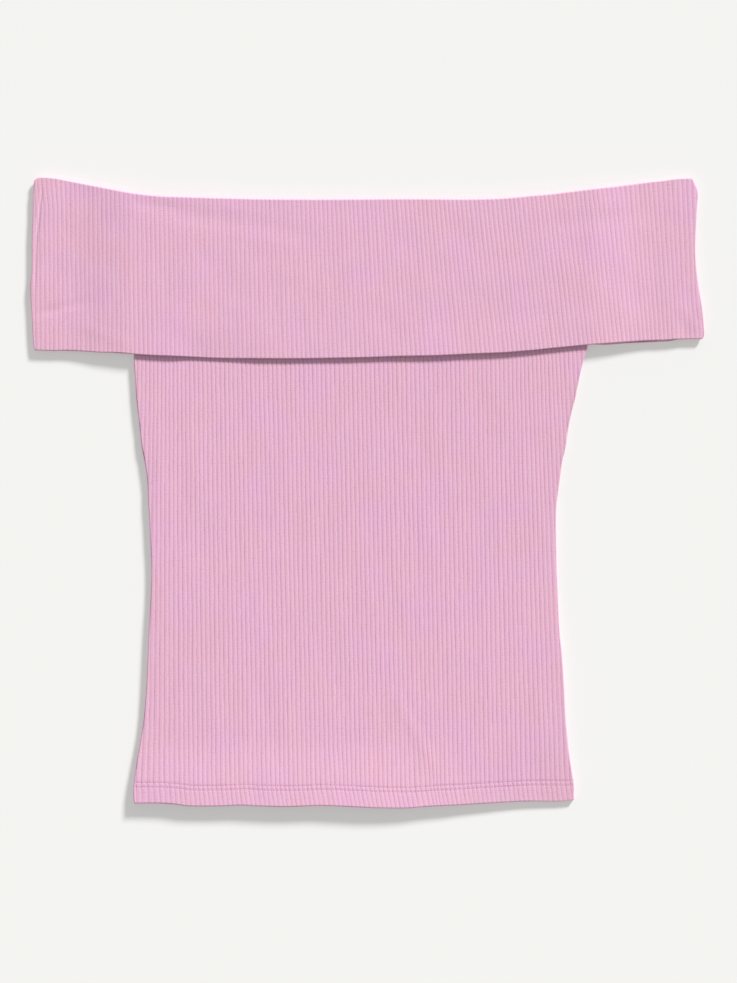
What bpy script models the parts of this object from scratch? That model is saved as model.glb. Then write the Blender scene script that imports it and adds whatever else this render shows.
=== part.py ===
"""Off-shoulder rib-knit top with a wide fold-over band, laid flat on its back.

The sizes are in millimetres and the meshes are built in metres, +Z up, neck towards +Y.
A row of a wall is a section across the garment. Its level says where it runs along the
body: 0 at the hem, 1 at the band's lower edge and 2 at the band's top fold.
"""

import math

import bmesh
import bpy

MM = 0.001
COLLECTION = "off_shoulder_top"

# Cloth
BODY_WALL = 1.0
HEM_TURN_WALL = 1.2
HEM_TURN_DEPTH = 17.5
BAND_WALL = 2.4
SEAM_GAP = 0.3
RIB_PITCH = 3.83
BODY_RIB_RISE = 0.5
BAND_RIB_RISE = 0.4
RIM_WALL = 0.4

# Ribs lean towards +X on their way down to the hem
BODY_LEAN = 0.02
HEM_LEAN = 0.15
BODY_MIDDLE_Y = -70.0
BAND_MIDDLE_Y = 190.0

# How far the cloth takes to roll over at an edge, or to climb onto a layer below
SIDE_ROLL = 6.0
BAND_ROLL = 2.6
HEM_ROLL = 1.4
CLIMB_START = 24.0
CLIMB_END = 5.0
SINK_WIDTH = 24.0
TOP_SINK = 5.5
BODY_TOP_INSET = 6.5

# Heights of the faces that lie on each other under the band's front
BACK_LIFTED = BAND_WALL + SEAM_GAP
FRONT_OVER_BAND = BACK_LIFTED + BODY_WALL + SEAM_GAP + BODY_WALL
BAND_INSIDE = FRONT_OVER_BAND + BODY_RIB_RISE + SEAM_GAP
ARM_INSIDE = BAND_WALL + 2 * SEAM_GAP
TOP_INSIDE = BAND_WALL + 4 * SEAM_GAP

# Side seams of the body: y, x of the left seam, x of the right seam
BODY_SIDES = (
    (-272, -200.0, 171.5),
    (-262, -201.5, 177.5),
    (-245, -200.5, 177.0),
    (-225, -196.0, 174.0),
    (-200, -192.9, 170.7),
    (-145, -188.6, 167.5),
    (-93, -186.8, 164.0),
    (-42, -186.8, 162.3),
    (-3, -189.4, 164.0),
    (36, -192.9, 170.1),
    (74, -198.0, 177.0),
    (112, -200.6, 185.5),
    (150, -200.0, 188.0),
    (268, -197.0, 186.0),
)

# Hem edge: x, y of the edge
HEM_EDGE = (
    (-202, -267.6),
    (-165, -269.8),
    (-105, -270.0),
    (-55, -270.6),
    (25, -271.4),
    (65, -270.6),
    (105, -267.4),
    (140, -265.8),
    (178, -265.4),
)

# Height of the front's outer face over the floor: level, at the left, in the middle, at the right
FRONT_HEIGHT = (
    (0.00, 6.6, 7.6, 5.4),
    (0.05, 5.8, 6.6, 5.0),
    (0.15, 4.9, 5.0, 4.4),
    (0.50, 4.6, 4.3, 4.2),
    (0.85, 4.8, 4.5, 4.4),
    (1.00, FRONT_OVER_BAND, FRONT_OVER_BAND, FRONT_OVER_BAND),
    (2.00, FRONT_OVER_BAND, FRONT_OVER_BAND, FRONT_OVER_BAND),
)

# Band: x, y of the top fold, y of the lower fold
BAND_EDGES = (
    (-288, 270.6, 121.7),
    (-247, 265.3, 120.8),
    (-200, 257.3, 118.8),
    (-155, 254.1, 116.2),
    (-60, 252.4, 114.6),
    (30, 252.4, 116.3),
    (115, 253.4, 119.6),
    (190, 260.4, 126.0),
    (240, 266.3, 129.6),
    (290, 270.8, 131.4),
)

# Arm ends of the band: share of the band's depth from its lower fold, x of the left end, x of the right end
BAND_ENDS = (
    (0.00, -286.3, 287.4),
    (0.06, -288.0, 290.0),
    (0.20, -288.4, 288.7),
    (0.36, -290.0, 284.8),
    (0.55, -288.4, 282.4),
    (0.80, -288.3, 283.4),
    (0.94, -286.8, 284.4),
    (1.00, -281.8, 280.2),
)

# How the band's ribs lean towards +X on their way down: x, lean
BAND_LEAN = (
    (-290, 0.00),
    (-120, 0.02),
    (0, 0.05),
    (150, 0.11),
    (290, 0.07),
)

# How far the back of the band stops short of the front's lower fold: x, distance
BACK_SHORTFALL = (
    (-290, 2.5),
    (185, 2.5),
    (205, -1.5),
    (262, -1.5),
    (280, 1.5),
)

# Soft folds of the front: x and y of the start, x and y of the end, half width, rise
BODY_FOLDS = (
    (-187, 98, -173, -38, 8.0, 0.7),
    (-170, 95, -158, -30, 9.0, -0.6),
    (160, 60, 152, -60, 9.0, 0.5),
    (-118, -252, -120, -190, 7.0, -0.7),
    (-71, -256, -73, -182, 8.0, -0.8),
    (18, -258, 20, -175, 8.0, -0.9),
    (50, -258, 52, -195, 7.0, -0.7),
    (122, -252, 120, -188, 8.0, -0.7),
    (-95, -256, -96, -200, 9.0, 0.6),
    (-25, -258, -24, -185, 12.0, 0.6),
    (85, -256, 86, -195, 10.0, 0.5),
)
BAND_FOLDS = (
    (-210, 247, -10, 238, 10.0, -0.7),
    (142, 240, 230, 244, 9.0, -0.6),
    (-288, 166, -236, 152, 6.0, -0.8),
    (-272, 147, -188, 134, 7.0, -0.6),
    (-127, 190, -15, 178, 8.0, -0.4),
    (34, 190, 132, 182, 8.0, -0.4),
    (72, 158, 164, 138, 9.0, -0.5),
    (-284, 262, -288, 180, 5.0, -0.6),
)

# Rows of the walls: level, offset along the body. Those listed first carry the raised ribs.
RIBBED_ROWS = (
    (0.0, 0.0),
    (0.0, HEM_ROLL),
    (0.0, HEM_TURN_DEPTH - 1.0),
    (0.0, HEM_TURN_DEPTH + 2.0),
    (0.22, 0.0),
    (0.42, 0.0),
    (0.62, 0.0),
    (0.82, 0.0),
    (1.0, -CLIMB_START),
    (1.0, -(CLIMB_START + CLIMB_END) / 2),
    (1.0, -CLIMB_END),
    (1.0, 6.0),
)
HIDDEN_ROWS = (
    (1.0, 11.0),
    (1.5, 0.0),
    (2.0, -BODY_TOP_INSET),
)
BAND_ROWS = (
    (1.0, 0.0),
    (1.0, BAND_ROLL),
    (1.12, 0.0),
    (1.3, 0.0),
    (1.5, 0.0),
    (1.7, 0.0),
    (1.88, 0.0),
    (2.0, -TOP_SINK),
    (2.0, -BAND_ROLL / 2),
    (2.0, 0.0),
)

# Places of a row's points near a side edge, as distances from it
OUTER_EDGE_STEPS = (0.0, 0.35, 1.3, 3.0)
INNER_EDGE_STEPS = (0.0, 1.4, 3.4, 6.5, 11.0)
RIB_START = 4.6
PLAIN_STEP = 26.0

FABRIC_COLOUR = (0.74, 0.43, 0.57, 1.0)
BACK_COLOUR = (0.70, 0.39, 0.53, 1.0)


def clear_scene():
    for item in list(bpy.data.objects):
        bpy.data.objects.remove(item, do_unlink=True)


def smooth(share):
    """0 to 1 with soft ends, for a share that may lie outside that range."""
    share = min(max(share, 0.0), 1.0)
    return share * share * (3.0 - 2.0 * share)


def round_over(distance, width):
    """Quarter circle: 0 at an edge and 1 at the given width from it."""
    share = min(max(distance / width, 0.0), 1.0)
    return math.sqrt(1.0 - (1.0 - share) ** 2)


def mix(first, second, share):
    return first + (second - first) * share


def read(table, column, at):
    """Value of a table's column at a place of its first column, on a smooth curve through its rows."""
    last = len(table) - 1
    if at <= table[0][0]:
        return table[0][column]
    if at >= table[last][0]:
        return table[last][column]
    row = max(i for i in range(last) if table[i][0] <= at)

    def slope(i):
        low, high = table[max(i - 1, 0)], table[min(i + 1, last)]
        return (high[column] - low[column]) / (high[0] - low[0])

    width = table[row + 1][0] - table[row][0]
    t = (at - table[row][0]) / width
    start, end = table[row][column], table[row + 1][column]
    curve = start * (1 + 2 * t) * (1 - t) ** 2 + end * (3 - 2 * t) * t * t
    return curve + width * (slope(row) * t * (1 - t) ** 2 - slope(row + 1) * t * t * (1 - t))


def folds(table, x, y):
    """Sum of the soft troughs and ridges at a point."""
    total = 0.0
    for x0, y0, x1, y1, half_width, rise in table:
        along_x, along_y = x1 - x0, y1 - y0
        length = math.hypot(along_x, along_y)
        along = ((x - x0) * along_x + (y - y0) * along_y) / length
        across = ((x - x0) * along_y - (y - y0) * along_x) / length
        if abs(across) > half_width or along < -half_width or along > length + half_width:
            continue
        beyond = max(-along, along - length, 0.0)
        total += rise * smooth(1.0 - math.hypot(across, beyond) / half_width)
    return total


def band_top(x):
    return read(BAND_EDGES, 1, x)


def band_bottom(x):
    return read(BAND_EDGES, 2, x)


def row_y(level, offset, x):
    """Place of a row along the body at x."""
    if level <= 1.0:
        return mix(read(HEM_EDGE, 1, x), band_bottom(x), level) + offset
    return mix(band_bottom(x), band_top(x), level - 1.0) + offset


def level_at(x, y):
    """Level of a point, the reverse of row_y."""
    low, middle, high = read(HEM_EDGE, 1, x), band_bottom(x), band_top(x)
    if y <= middle:
        return (y - low) / (middle - low)
    return 1.0 + (y - middle) / (high - middle)


def body_side(x, y, side):
    return read(BODY_SIDES, side, y)


def band_side(x, y, side):
    return read(BAND_ENDS, side, level_at(x, y) - 1.0)


def body_rib_x(s, y):
    stitch_y = read(HEM_EDGE, 1, s) + HEM_TURN_DEPTH
    return s + BODY_LEAN * (BODY_MIDDLE_Y - y) + HEM_LEAN * max(stitch_y - y, 0.0)


def band_rib_x(s, y):
    return s + read(BAND_LEAN, 1, s) * (BAND_MIDDLE_Y - y)


def side_distance(x, y, side_x):
    """Distance of a point from the nearer side edge."""
    return min(x - side_x(x, y, 1), side_x(x, y, 2) - x)


def back_bottom(x, y):
    """Underside of the body's back, which climbs onto the back of the band."""
    to_band = y - band_bottom(x) + CLIMB_START
    return BACK_LIFTED * smooth(to_band / (CLIMB_START - CLIMB_END))


def hem_turn(x, y):
    """Thickness that the turned hem adds on the inside."""
    above_hem = y - read(HEM_EDGE, 1, x)
    return HEM_TURN_WALL * (1.0 - smooth((above_hem - HEM_TURN_DEPTH + 1.0) / 3.0))


def back_top(x, y):
    return back_bottom(x, y) + BODY_WALL + hem_turn(x, y)


def front_full(x, y):
    """Outer face of the body's front away from its edges, without ribs."""
    level = level_at(x, y)
    left, right = body_side(x, y, 1), body_side(x, y, 2)
    across = 2.0 * (x - left) / (right - left) - 1.0
    middle = read(FRONT_HEIGHT, 2, level)
    side = read(FRONT_HEIGHT, 1 if across < 0 else 3, level)
    height = mix(middle, side, smooth(abs(across)))
    return height + folds(BODY_FOLDS, x, y) * (1.0 - smooth(level / 0.1 - 9.0))


def front_inner(x, y):
    """Inner face of the body's front."""
    low = back_top(x, y) + SEAM_GAP
    high = max(front_full(x, y) - BODY_WALL - hem_turn(x, y), low)
    distance = side_distance(x, y, body_side)
    return mix(low, high, round_over(distance - BODY_WALL, SIDE_ROLL))


def front_outer(x, y):
    """Outer face of the body's front, rolled down to the side seams and over the hem edge."""
    low = back_top(x, y) + SEAM_GAP + RIM_WALL
    distance = side_distance(x, y, body_side)
    rolled = mix(low, max(front_full(x, y), low + RIM_WALL), round_over(distance, SIDE_ROLL))
    above_hem = y - read(HEM_EDGE, 1, x)
    edge = front_inner(x, y) + RIM_WALL + HEM_TURN_WALL / 2
    return mix(edge, rolled, round_over(above_hem, HEM_ROLL))


def band_inner(x, y):
    """Inner face of the band's front, which sinks beside the body and over its top."""
    left = body_side(x, y, 1) - x
    right = x - body_side(x, y, 2)
    beside = smooth((max(left, right) - 1.0) / SINK_WIDTH)
    above = smooth((y - band_top(x) + TOP_SINK) / TOP_SINK)
    over_body = mix(BAND_INSIDE, TOP_INSIDE, above)
    return mix(over_body, ARM_INSIDE, beside) - SEAM_GAP * (
        1.0 - smooth(side_distance(x, y, band_side) / SIDE_ROLL)
    )


def band_rim(x, y, bottom):
    """How full the band's wall is: 0 at its edges and 1 inside them."""
    up = round_over(y - bottom, BAND_ROLL)
    down = round_over(band_top(x) - y, BAND_ROLL)
    side = round_over(side_distance(x, y, band_side), BAND_ROLL)
    return min(up, down, side)


def band_outer(x, y):
    """Outer face of the band's front."""
    full = BAND_WALL + folds(BAND_FOLDS, x, y)
    return band_inner(x, y) + mix(RIM_WALL, full, band_rim(x, y, band_bottom(x)))


def edge_point(level, offset, side, side_x):
    """Where a row meets a side edge."""
    x = side_x(0.0, row_y(level, offset, 0.0), side)
    for _ in range(4):
        y = row_y(level, offset, x)
        x = side_x(x, y, side)
    return x, row_y(level, offset, x)


def rib_place(x, y, rib_x):
    """Place across the ribs of a point, the reverse of rib_x."""
    s = x
    for _ in range(4):
        s += x - rib_x(s, y)
    return s


def ribbed_section(row, side_x, rib_x, height, rise):
    """A row of outer points with two columns a rib: (place across the ribs, x, y, z)."""
    level, offset = row
    left, left_y = edge_point(level, offset, 1, side_x)
    right, right_y = edge_point(level, offset, 2, side_x)
    points = []
    for step in OUTER_EDGE_STEPS:
        x = left + step
        y = row_y(level, offset, x)
        points.append((rib_place(x, y, rib_x), x, y, height(x, y)))
    first = math.ceil(2 * rib_place(left + RIB_START, left_y, rib_x) / RIB_PITCH)
    last = math.floor(2 * rib_place(right - RIB_START, right_y, rib_x) / RIB_PITCH)
    for column in range(first, last + 1):
        s = column * RIB_PITCH / 2
        y = row_y(level, offset, s)
        x = rib_x(s, y)
        y = row_y(level, offset, x)
        crest = rise if column % 2 == 0 else 0.0
        points.append((s, x, y, height(x, y) + crest))
    for step in reversed(OUTER_EDGE_STEPS):
        x = right - step
        y = row_y(level, offset, x)
        points.append((rib_place(x, y, rib_x), x, y, height(x, y)))
    return points


def plain_section(row, side_x, rib_x, height, inset=0.0, end_inset=0.0):
    """A row of points with a few columns, moved in from the side edges by the inset."""
    level, offset = row
    offset += end_inset
    left = edge_point(level, offset, 1, side_x)[0] + inset
    right = edge_point(level, offset, 2, side_x)[0] - inset
    inside_left = left + INNER_EDGE_STEPS[-1]
    inside_right = right - INNER_EDGE_STEPS[-1]
    steps = round((inside_right - inside_left) / PLAIN_STEP)
    places = [left + step for step in INNER_EDGE_STEPS]
    places += [mix(inside_left, inside_right, i / steps) for i in range(1, steps)]
    places += [right - step for step in reversed(INNER_EDGE_STEPS)]
    points = []
    for x in places:
        y = row_y(level, offset, x)
        points.append((rib_place(x, y, rib_x), x, y, height(x, y)))
    return points


class Wall:
    """A closed cloth wall, lofted between unlike sections that no modelling tool joins."""

    def __init__(self, name, colour):
        self.name = name
        self.colour = colour
        self.mesh = bmesh.new()

    def add_section(self, points):
        return [(s, self.mesh.verts.new((x * MM, y * MM, z * MM))) for s, x, y, z in points]

    def join(self, first, second):
        """Triangles between two sections, kept along the ribs."""
        i = j = 0
        while i < len(first) - 1 or j < len(second) - 1:
            second_done = j == len(second) - 1
            first_left = i < len(first) - 1
            if first_left and (second_done or first[i + 1][0] <= second[j + 1][0] + SEAM_GAP):
                self.mesh.faces.new((first[i][1], first[i + 1][1], second[j][1]))
                i += 1
            else:
                self.mesh.faces.new((first[i][1], second[j + 1][1], second[j][1]))
                j += 1

    def close(self, outer, inner):
        """Faces of the outer and the inner rows, and the rim between them."""
        for rows in (outer, inner):
            for low, high in zip(rows, rows[1:]):
                self.join(low, high)
        self.join(outer[0], inner[0])
        self.join(outer[-1], inner[-1])
        for end in (0, -1):
            for k in range(len(outer) - 1):
                corners = (outer[k], outer[k + 1], inner[k + 1], inner[k])
                self.mesh.faces.new([section[end][1] for section in corners])

    def finish(self, collection):
        bmesh.ops.triangulate(self.mesh, faces=self.mesh.faces)
        bmesh.ops.recalc_face_normals(self.mesh, faces=self.mesh.faces)
        data = bpy.data.meshes.new(self.name)
        self.mesh.to_mesh(data)
        self.mesh.free()
        data.shade_smooth()
        data.set_sharp_from_angle(angle=math.radians(50))
        data.materials.append(knit_material(self.name + "_knit", self.colour))
        item = bpy.data.objects.new(self.name, data)
        collection.objects.link(item)
        return item


def knit_material(name, colour):
    material = bpy.data.materials.new(name)
    material.use_nodes = True
    shader = material.node_tree.nodes["Principled BSDF"]
    shader.inputs["Base Color"].default_value = colour
    shader.inputs["Roughness"].default_value = 0.9
    shader.inputs["Metallic"].default_value = 0.0
    return material


def rim_insets(rows, depth):
    """How far the first and the last inner row stand back from the wall's ends."""
    return [depth] + [0.0] * (len(rows) - 2) + [-depth]


def make_body_front(collection):
    wall = Wall("body_front", FABRIC_COLOUR)
    outer = []
    for row in RIBBED_ROWS:
        points = ribbed_section(row, body_side, body_rib_x, front_outer, BODY_RIB_RISE)
        outer.append(wall.add_section(points))
    for row in HIDDEN_ROWS:
        outer.append(wall.add_section(plain_section(row, body_side, body_rib_x, front_outer)))
    rows = RIBBED_ROWS + HIDDEN_ROWS
    inner = []
    for row, end_inset in zip(rows, rim_insets(rows, RIM_WALL)):
        points = plain_section(row, body_side, body_rib_x, front_inner, RIM_WALL, end_inset)
        inner.append(wall.add_section(points))
    wall.close(outer, inner)
    return wall.finish(collection)


def make_body_back(collection):
    wall = Wall("body_back", BACK_COLOUR)
    rows = RIBBED_ROWS + HIDDEN_ROWS
    outer, inner = [], []
    for row, end_inset in zip(rows, rim_insets(rows, RIM_WALL)):
        top = plain_section(row, body_side, body_rib_x, back_top)
        bottom = plain_section(row, body_side, body_rib_x, back_bottom, RIM_WALL, end_inset)
        outer.append(wall.add_section(top))
        inner.append(wall.add_section(bottom))
    wall.close(outer, inner)
    return wall.finish(collection)


def make_band_front(collection):
    wall = Wall("band_front", FABRIC_COLOUR)
    outer, inner = [], []
    for row, end_inset in zip(BAND_ROWS, rim_insets(BAND_ROWS, RIM_WALL)):
        points = ribbed_section(row, band_side, band_rib_x, band_outer, BAND_RIB_RISE)
        outer.append(wall.add_section(points))
        points = plain_section(row, band_side, band_rib_x, band_inner, RIM_WALL, end_inset)
        inner.append(wall.add_section(points))
    wall.close(outer, inner)
    return wall.finish(collection)


def make_band_back(collection):
    wall = Wall("band_back", BACK_COLOUR)

    def shortfall(level, x):
        return read(BACK_SHORTFALL, 1, x) * (2.0 - level)

    def moved(points, level, height):
        lowered = [(s, x, y + shortfall(level, x)) for s, x, y, _ in points]
        return [(s, x, y, height(x, y)) for s, x, y in lowered]

    def back_outer(x, y):
        bottom = band_bottom(x) + read(BACK_SHORTFALL, 1, x)
        return mix(RIM_WALL * 2, BAND_WALL, band_rim(x, y, bottom))

    def floor(x, y):
        return 0.0

    outer, inner = [], []
    for row, end_inset in zip(BAND_ROWS, rim_insets(BAND_ROWS, RIM_WALL)):
        top = plain_section(row, band_side, band_rib_x, floor)
        bottom = plain_section(row, band_side, band_rib_x, floor, RIM_WALL, end_inset)
        outer.append(wall.add_section(moved(top, row[0], back_outer)))
        inner.append(wall.add_section(moved(bottom, row[0], floor)))
    wall.close(outer, inner)
    return wall.finish(collection)


def centre(items):
    """Moves the garment so that the middle of its outline is at x = y = 0."""
    for axis in (0, 1):
        places = [vertex.co[axis] for item in items for vertex in item.data.vertices]
        middle = (min(places) + max(places)) / 2
        for item in items:
            for vertex in item.data.vertices:
                vertex.co[axis] -= middle


def main():
    clear_scene()
    collection = bpy.data.collections.new(COLLECTION)
    bpy.context.scene.collection.children.link(collection)
    items = [
        make_body_back(collection),
        make_body_front(collection),
        make_band_back(collection),
        make_band_front(collection),
    ]
    centre(items)


main()
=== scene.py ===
"""Off-shoulder rib-knit top with a fold-over band, laid flat under studio light.

The outline and height tables are in millimetres, as a pattern maker would write them. A
row of a wall is a section across the garment. Its level says where it runs along the
body: 0 at the hem, 1 at the band's lower fold and 2 at the band's top fold.
"""

import math

import bmesh
import bpy
import numpy as np
from bpy.props import FloatProperty, FloatVectorProperty, IntProperty, PointerProperty
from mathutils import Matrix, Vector


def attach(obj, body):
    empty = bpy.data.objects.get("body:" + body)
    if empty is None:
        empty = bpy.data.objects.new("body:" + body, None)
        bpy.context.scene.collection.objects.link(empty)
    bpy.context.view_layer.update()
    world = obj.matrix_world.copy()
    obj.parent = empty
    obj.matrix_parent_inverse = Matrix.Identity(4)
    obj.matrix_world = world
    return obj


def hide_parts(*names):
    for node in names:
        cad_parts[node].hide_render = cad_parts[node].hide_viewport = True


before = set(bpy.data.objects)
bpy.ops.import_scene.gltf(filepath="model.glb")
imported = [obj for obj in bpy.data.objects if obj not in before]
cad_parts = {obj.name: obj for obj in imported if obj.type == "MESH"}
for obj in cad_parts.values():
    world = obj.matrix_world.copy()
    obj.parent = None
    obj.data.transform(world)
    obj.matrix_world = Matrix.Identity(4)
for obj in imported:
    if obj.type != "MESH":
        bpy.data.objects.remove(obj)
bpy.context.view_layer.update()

bl_info = {
    "name": "Off-shoulder rib-knit top",
    "version": (1, 0, 0),
    "blender": (4, 5, 0),
    "location": "View3D > Sidebar > Rib Top",
    "description": "Lays out a rib-knit top with a fold-over band and its studio stage",
    "category": "Add Mesh",
}

MM = 0.001
BODY = "root"
PHOTO_WIDTH, PHOTO_HEIGHT = 737, 983
PIXEL_MM = 0.86
SEED = 11

# Stage in metres: the floor paper lies a hair below the cloth, and the photo's middle is a
# little aside of the garment's
FLOOR_SIZE = 12.0
FLOOR_DROP = 0.00005
CAMERA_ASIDE = (0.001, 0.0007)
SENSOR_MM = 36.0
LIGHT_DISTANCE = 3.0

# Moves the tables' outline so that the garment's box is centred, as its solids are
OUTLINE_SHIFT = (-0.14, 0.73)

# How far the cloth takes to roll over at an edge, in mm, and what is left of it at the rim
SIDE_ROLL = 0.7
BAND_ROLL = 0.4
END_ROLL = 4.0
HEM_ROLL = 0.25
BACK_ROLL = 1.0
RIM_WALL = 0.4
BACK_RIM_LIFT = 0.4

# How the body climbs onto the band's back, measured from the band's lower fold
CLIMB_START = 24.0
CLIMB_END = 5.0
CLIMB_TOP = 6.0
UNDER_BAND = 11.0
BODY_TOP_INSET = 6.5

# How the band's front sinks beside the body and at its top fold
SINK_WIDTH = 60.0
TOP_SINK = 1.0
ARM_AIR_SHARE = 0.3

# Heights at which the ribs' lean is nought
BODY_MIDDLE_Y = -70.0
BAND_MIDDLE_Y = 190.0

# Exponent of a rib's round back: higher is flatter on top, with narrower grooves
RIB_FLATNESS = 3.6

# Sewing of the hem: where the lower line's stitches start, how wide and deep a line presses the
# cloth, and the radius and depth of a needle hole
LOWER_LINE_PHASE = 0.37
LINE_WIDTH = 0.75
LINE_DEPTH = 0.04
HOLE_RADIUS = 0.38
HOLE_DEPTH = 0.2
HEM_STEP = 3.0

# Side seams of the body: y, x of the left seam, x of the right seam
BODY_SIDES = (
    (-272, -199.7, 178.0),
    (-262, -201.0, 178.1),
    (-254, -200.9, 178.3),
    (-240, -199.4, 176.4),
    (-225, -197.1, 173.9),
    (-210, -194.5, 172.4),
    (-195, -192.3, 171.1),
    (-168, -190.1, 169.8),
    (-137, -188.7, 167.6),
    (-120, -188.0, 165.8),
    (-93, -186.5, 164.4),
    (-68, -185.7, 163.4),
    (-40, -186.8, 162.8),
    (-22, -187.6, 162.8),
    (-8, -188.6, 163.5),
    (8, -189.2, 165.7),
    (24, -191.4, 167.7),
    (38, -194.2, 171.0),
    (52, -195.6, 172.9),
    (67, -197.3, 175.9),
    (80, -198.8, 179.2),
    (96, -199.7, 182.4),
    (112, -200.7, 185.9),
    (124, -200.6, 189.4),
    (150, -200.0, 190.0),
    (268, -197.0, 186.0),
)

# Hem edge: x, y of the edge
HEM_EDGE = (
    (-202, -268.1),
    (-187, -267.9),
    (-175, -268.0),
    (-165, -268.8),
    (-155, -270.2),
    (-140, -270.5),
    (-125, -270.3),
    (-108, -269.6),
    (-94, -270.3),
    (-68, -270.8),
    (-43, -269.9),
    (-25, -270.3),
    (-8, -271.1),
    (10, -271.9),
    (34, -272.1),
    (50, -270.9),
    (76, -269.8),
    (96, -268.7),
    (120, -267.4),
    (135, -266.7),
    (165, -266.7),
    (178, -265.6),
)

# Height of the front's outer face over the floor: level, at the left, in the middle, at the right.
# Under the band it is worked out from the layers that lie there.
FRONT_HEIGHT = (
    (0.00, 8.4, 9.6, 3.8),
    (0.05, 7.6, 8.2, 4.2),
    (0.15, 6.0, 5.9, 5.0),
    (0.50, 5.6, 4.8, 4.4),
    (0.85, 5.2, 4.9, 4.6),
)
UNDER_BAND_LEVELS = (1.0, 2.0)

# Band: x, y of the top fold, y of the lower fold
BAND_EDGES = (
    (-288, 270.6, 121.5),
    (-270, 269.7, 121.0),
    (-257, 267.3, 121.2),
    (-243, 264.7, 120.4),
    (-229, 262.2, 119.4),
    (-215, 259.5, 119.2),
    (-202, 257.1, 118.0),
    (-188, 255.4, 117.0),
    (-174, 254.2, 116.4),
    (-155, 253.7, 115.7),
    (-135, 253.0, 114.7),
    (-120, 252.6, 114.3),
    (-90, 251.9, 114.1),
    (-60, 251.7, 114.0),
    (-30, 251.6, 114.4),
    (0, 251.8, 115.0),
    (20, 252.0, 115.8),
    (40, 252.0, 116.2),
    (60, 251.9, 116.6),
    (87, 251.7, 117.9),
    (115, 252.4, 119.0),
    (130, 253.6, 120.1),
    (143, 254.9, 121.2),
    (156, 255.9, 122.6),
    (190, 260.1, 125.9),
    (215, 262.9, 127.8),
    (240, 265.9, 129.6),
    (256, 267.6, 130.0),
    (266, 269.0, 130.8),
    (280, 269.6, 131.2),
    (290, 270.0, 131.0),
)

# Arm ends of the band: share of its depth from the lower fold, x of the left end, x of the right end
BAND_ENDS = (
    (0.000, -286.0, 288.0),
    (0.010, -286.6, 289.2),
    (0.025, -287.0, 290.0),
    (0.06, -287.6, 290.1),
    (0.20, -288.6, 288.2),
    (0.36, -289.9, 284.6),
    (0.45, -288.7, 283.2),
    (0.55, -288.6, 282.5),
    (0.66, -288.5, 282.8),
    (0.80, -287.6, 283.8),
    (0.90, -287.5, 284.6),
    (0.94, -286.8, 283.6),
    (0.97, -286.7, 282.0),
    (0.99, -285.6, 280.6),
    (1.00, -281.8, 279.0),
)

# How the ribs lean towards +X on their way down: x, lean
BAND_LEAN = (
    (-290, 0.00),
    (-255, 0.01),
    (-120, 0.02),
    (0, 0.05),
    (90, 0.10),
    (200, 0.11),
    (262, 0.06),
    (290, 0.02),
)
BODY_LEAN = (
    (-200, -0.02),
    (-150, 0.01),
    (0, 0.02),
    (120, 0.02),
    (178, 0.05),
)
HEM_LEAN = (
    (-200, 0.08),
    (-60, 0.16),
    (40, 0.19),
    (110, 0.13),
    (178, 0.10),
)

# Where ribs bow aside: x and width of the bow, y where it starts and where it is full, shift
BAND_BOWS = (
    (-275, 24, 240, 268, -2.2),
    (290, 26, 170, 132, 3.0),
)
BODY_BOWS = (
    (46, 15, -205, -250, 2.6),
    (-30, 22, -215, -252, 1.4),
    (-196, 20, -180, -250, -2.5),
)

# How far the back of the band stops short of the front's lower fold: x, distance
BACK_SHORTFALL = (
    (-290, 2.5),
    (190, 2.5),
    (200, -0.3),
    (235, -0.7),
    (262, -0.6),
    (276, 1.5),
)

# Soft folds: x and y of the start, x and y of the end, half width, rise
BODY_FOLDS = (
    (-181, 108, -179, -50, 9.0, 0.20),
    (-161, 104, -160, -60, 10.0, -0.15),
    (15, -159, 64, -250, 9.0, 0.18),
    (-112, -250, -104, -190, 13.0, 0.20),
    (-62, -250, -72, -185, 12.0, 0.18),
    (112, -252, 106, -196, 13.0, 0.15),
    (-24, -258, -22, -196, 16.0, -0.15),
    (158, 60, 150, -60, 12.0, -0.10),
)
BAND_FOLDS = (
    (-206, 246, -32, 218, 13.0, -0.28),
    (-212, 249, -150, 242, 8.0, -0.22),
    (138, 226, 258, 241, 13.0, -0.20),
    (-288, 153, -232, 165, 6.0, -0.26),
    (-289, 151, -262, 157, 5.0, -0.20),
    (-262, 148, -190, 122, 9.0, 0.14),
    (-96, 194, -20, 172, 15.0, 0.14),
    (8, 172, 256, 202, 17.0, 0.14),
    (84, 144, 186, 156, 13.0, -0.12),
    (266, 164, 286, 134, 9.0, 0.20),
    (-279, 268, -284.2, 212, 1.6, -0.45),
    (-283.6, 240, -284.6, 206, 1.4, -0.4),
    (-284, 226, -285.8, 168, 1.6, -0.35),
    (-175, 112, -90, 110, 32.0, -0.80),
    (0, 114, 160, 120, 30.0, 0.35),
    (264, 134, 300, 132, 28.0, -0.80),
)

# Where the turned hem lies pressed flat: x where that starts, width, share that it loses
HEM_PRESS = (95.0, 75.0, 0.65)

# Rows near the hem and its two lines of stitches, as distances above the hem edge
HEM_ROWS = (0, 0.1, 0.25, 1.4, 2.4, 4, 6.5, 9.5, 12.2, 13.2, 13.8, 14.2, 14.6, 15.2)
HEM_ROWS += (16.1, 17.0, 17.6, 18.0, 18.4, 19.0, 20.0, 21.6, 24)
TORSO_ROWS = 70
CLIMB_ROWS = 12
BAND_FOLD_ROWS = (0, 0.15, 0.4, 1.0, 1.8, 3.2)
BAND_ROWS = 68
BACK_ROWS = 34

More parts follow.
